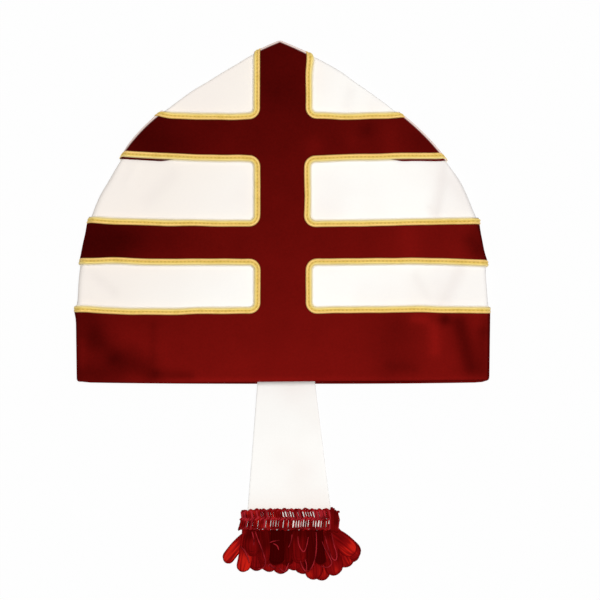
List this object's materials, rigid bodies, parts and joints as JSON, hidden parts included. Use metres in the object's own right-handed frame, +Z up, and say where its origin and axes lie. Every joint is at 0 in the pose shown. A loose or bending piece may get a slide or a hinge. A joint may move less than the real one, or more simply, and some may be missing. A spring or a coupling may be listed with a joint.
{
  "type": "mitre",
  "caption": "Folding bishop's mitre in white cloth with a velvet cross overlay, gold braid and a fringed lappet, lying flat on its back.",
  "frame": {"origin": "centre of the bounding box on the surface that the mitre lies on", "axes": "+Y from the fringe to the tip, +X to the right as seen from the front, +Z up through the front horn"},
  "size_m": [0.3072, 0.3982, 0.0269],
  "materials": {
    "white_cloth": "matt woven cloth, stiffened",
    "red_velvet": "short-pile velvet with a brushed nap",
    "gold_braid": "soutache braid with a metallic thread sheen",
    "crimson_yarn": "shiny crocheted yarn"
  },
  "bodies": {
    "root": {"front_panel": "white_cloth", "back_panel": "white_cloth", "crown_gusset": "white_cloth", "front_velvet": "red_velvet", "back_velvet": "red_velvet", "front_braid_lower_left": "gold_braid", "front_braid_lower_right": "gold_braid", "front_braid_middle_left": "gold_braid", "front_braid_middle_right": "gold_braid", "front_braid_top_left": "gold_braid", "front_braid_top_right": "gold_braid", "back_braid_lower_left": "gold_braid", "back_braid_lower_right": "gold_braid", "back_braid_middle_left": "gold_braid", "back_braid_middle_right": "gold_braid", "back_braid_top_left": "gold_braid", "back_braid_top_right": "gold_braid", "lappet": "white_cloth", "lappet_fringe": "crimson_yarn"}
  },
  "joints": []
}
